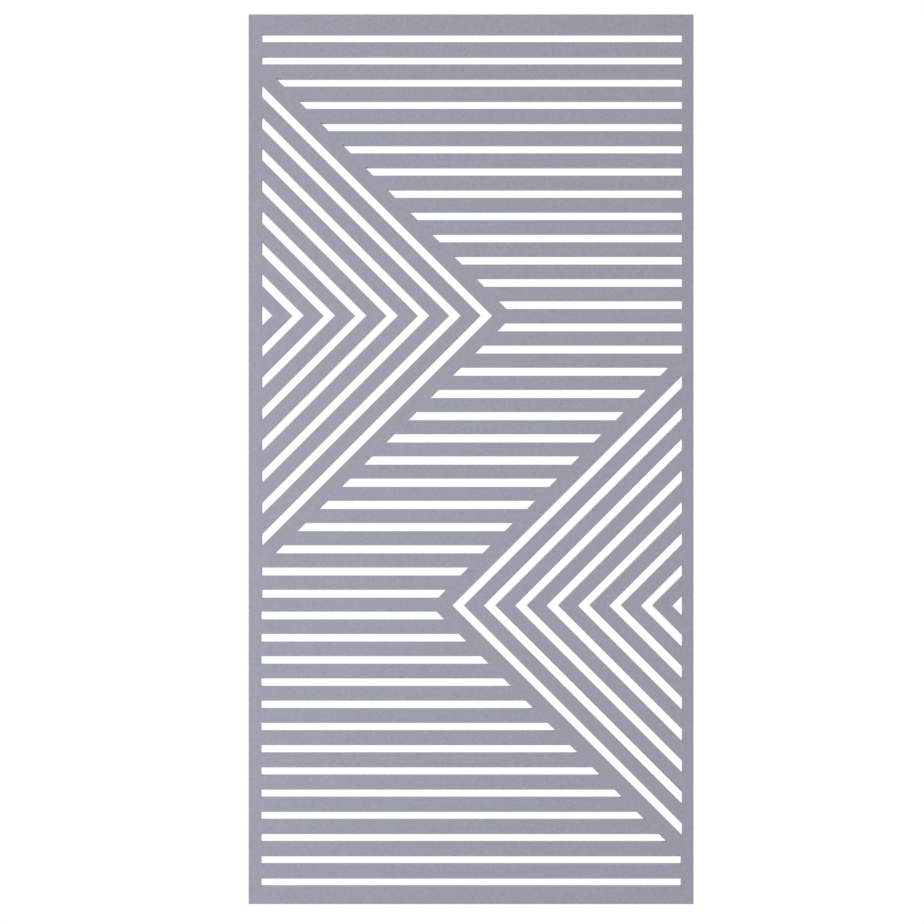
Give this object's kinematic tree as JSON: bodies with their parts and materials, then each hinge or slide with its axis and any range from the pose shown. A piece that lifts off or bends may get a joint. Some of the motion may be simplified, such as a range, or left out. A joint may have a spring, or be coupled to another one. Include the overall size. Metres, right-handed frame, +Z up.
{
  "type": "hanging room divider",
  "caption": "Tall flat felt screen cut through with stripes and nested chevrons, hung by sliding hangers from a rail hidden behind its top edge.",
  "frame": {"origin": "midway between the two hanger eyes, in the middle of the hanger arms' thickness", "axes": "+Z up, +X to the right seen from the front, +Y from the sheet's face to its back"},
  "size_m": [1.2, 0.035, 2.4],
  "materials": {
    "felt": "matte",
    "rail_aluminium": "satin",
    "plated_steel": "satin",
    "arm_steel": "satin",
    "black_plastic": "matte",
    "nylon": "satin"
  },
  "bodies": {
    "panel": {"felt_panel": "felt", "hanging_rail": "rail_aluminium", "rail_screws": "plated_steel", "rail_end_cap_left": "black_plastic", "rail_end_cap_right": "black_plastic"},
    "left_slider": {"slider_left": "plated_steel"},
    "left_arm": {"hanger_arm_left": "arm_steel"},
    "left_lock": {"lock_stud_left": "plated_steel", "lock_washer_left": "nylon", "lock_knob_left": "black_plastic"},
    "right_slider": {"slider_right": "plated_steel"},
    "right_arm": {"hanger_arm_right": "arm_steel"},
    "right_lock": {"lock_stud_right": "plated_steel", "lock_washer_right": "nylon", "lock_knob_right": "black_plastic"}
  },
  "joints": [
    {"name": "left_hanger_slide", "type": "slide", "parent": "panel", "child": "left_slider", "axis": [-1, 0, 0], "range_m": [-0.39, 0.086]},
    {"name": "left_arm_swing", "type": "hinge", "parent": "left_slider", "child": "left_arm", "pos_m": [-0.45, 0, -0.02], "axis": [0, 1, 0], "continuous": true},
    {"name": "left_lock_turn", "type": "hinge", "parent": "left_slider", "child": "left_lock", "pos_m": [-0.45, 0, -0.02], "axis": [0, 1, 0], "range_deg": [0, 720]},
    {"name": "right_hanger_slide", "type": "slide", "parent": "panel", "child": "right_slider", "axis": [1, 0, 0], "range_m": [-0.39, 0.086]},
    {"name": "right_arm_swing", "type": "hinge", "parent": "right_slider", "child": "right_arm", "pos_m": [0.45, 0, -0.02], "axis": [0, 1, 0], "continuous": true},
    {"name": "right_lock_turn", "type": "hinge", "parent": "right_slider", "child": "right_lock", "pos_m": [0.45, 0, -0.02], "axis": [0, 1, 0], "range_deg": [0, 720]}
  ]
}
